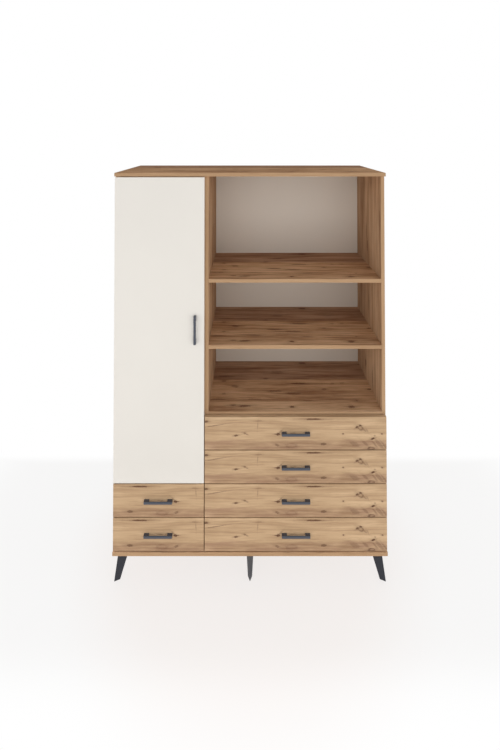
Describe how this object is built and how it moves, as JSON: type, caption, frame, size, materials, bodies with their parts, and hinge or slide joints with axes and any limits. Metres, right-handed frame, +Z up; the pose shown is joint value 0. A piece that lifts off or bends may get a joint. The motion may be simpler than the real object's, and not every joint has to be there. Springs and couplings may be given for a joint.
{
  "type": "chifforobe",
  "caption": "Tall free-standing chifforobe with a hinged wardrobe door, open shelves and pull-out drawers on splayed V-section legs.",
  "frame": {"origin": "on the floor, under the middle of the whole piece, handles included", "axes": "+X to the right seen from the front, +Y to the rear, +Z up"},
  "size_m": [1.2, 0.4634, 1.781],
  "materials": {
    "carcass_wood": "oak print laminate",
    "front_wood": "oak print laminate",
    "door_board": "off-white laminate",
    "back_board": "off-white hardboard",
    "drawer_board": "off-white laminate",
    "runner_wood": "waxed hardwood",
    "handle_metal": "satin anthracite",
    "leg_metal": "satin charcoal",
    "hinge_steel": "nickel plated",
    "rail_chrome": "polished"
  },
  "bodies": {
    "carcass": {"top_panel": "carcass_wood", "base_panel": "carcass_wood", "left_side_panel": "carcass_wood", "right_side_panel": "carcass_wood", "wardrobe_upright": "carcass_wood", "shelf_upright": "carcass_wood", "right_deck": "carcass_wood", "lower_shelf": "carcass_wood", "upper_shelf": "carcass_wood", "left_deck": "carcass_wood", "hat_shelf": "carcass_wood", "back_panel": "back_board", "shelf_pins": "hinge_steel", "hanging_rail": "rail_chrome", "rail_sockets": "rail_chrome", "hinge_arms": "hinge_steel", "drawer_runners": "runner_wood", "front_left_leg": "leg_metal", "front_centre_leg": "leg_metal", "front_right_leg": "leg_metal", "rear_left_leg": "leg_metal", "rear_centre_leg": "leg_metal", "rear_right_leg": "leg_metal"},
    "door": {"door_panel": "door_board", "door_handle": "handle_metal", "hinge_cups": "hinge_steel", "hinge_pins": "hinge_steel"},
    "right_drawer_4": {"right_drawer_4_front": "front_wood", "right_drawer_4_sides": "drawer_board", "right_drawer_4_back": "drawer_board", "right_drawer_4_bottom": "back_board", "right_drawer_4_handle": "handle_metal"},
    "right_drawer_3": {"right_drawer_3_front": "front_wood", "right_drawer_3_sides": "drawer_board", "right_drawer_3_back": "drawer_board", "right_drawer_3_bottom": "back_board", "right_drawer_3_handle": "handle_metal"},
    "right_drawer_2": {"right_drawer_2_front": "front_wood", "right_drawer_2_sides": "drawer_board", "right_drawer_2_back": "drawer_board", "right_drawer_2_bottom": "back_board", "right_drawer_2_handle": "handle_metal"},
    "right_drawer_1": {"right_drawer_1_front": "front_wood", "right_drawer_1_sides": "drawer_board", "right_drawer_1_back": "drawer_board", "right_drawer_1_bottom": "back_board", "right_drawer_1_handle": "handle_metal"},
    "left_drawer_2": {"left_drawer_2_front": "front_wood", "left_drawer_2_sides": "drawer_board", "left_drawer_2_back": "drawer_board", "left_drawer_2_bottom": "back_board", "left_drawer_2_handle": "handle_metal"},
    "left_drawer_1": {"left_drawer_1_front": "front_wood", "left_drawer_1_sides": "drawer_board", "left_drawer_1_back": "drawer_board", "left_drawer_1_bottom": "back_board", "left_drawer_1_handle": "handle_metal"}
  },
  "joints": [
    {"name": "door_hinge", "type": "hinge", "parent": "carcass", "child": "door", "pos_m": [-0.59175, -0.20855, 1.0935], "axis": [0, 0, -1], "range_deg": [0, 95]},
    {"name": "right_drawer_4_slide", "type": "slide", "parent": "carcass", "child": "right_drawer_4", "axis": [0, -1, 0], "range_m": [0, 0.3]},
    {"name": "right_drawer_3_slide", "type": "slide", "parent": "carcass", "child": "right_drawer_3", "axis": [0, -1, 0], "range_m": [0, 0.3]},
    {"name": "right_drawer_2_slide", "type": "slide", "parent": "carcass", "child": "right_drawer_2", "axis": [0, -1, 0], "range_m": [0, 0.3]},
    {"name": "right_drawer_1_slide", "type": "slide", "parent": "carcass", "child": "right_drawer_1", "axis": [0, -1, 0], "range_m": [0, 0.3]},
    {"name": "left_drawer_2_slide", "type": "slide", "parent": "carcass", "child": "left_drawer_2", "axis": [0, -1, 0], "range_m": [0, 0.3]},
    {"name": "left_drawer_1_slide", "type": "slide", "parent": "carcass", "child": "left_drawer_1", "axis": [0, -1, 0], "range_m": [0, 0.3]}
  ]
}
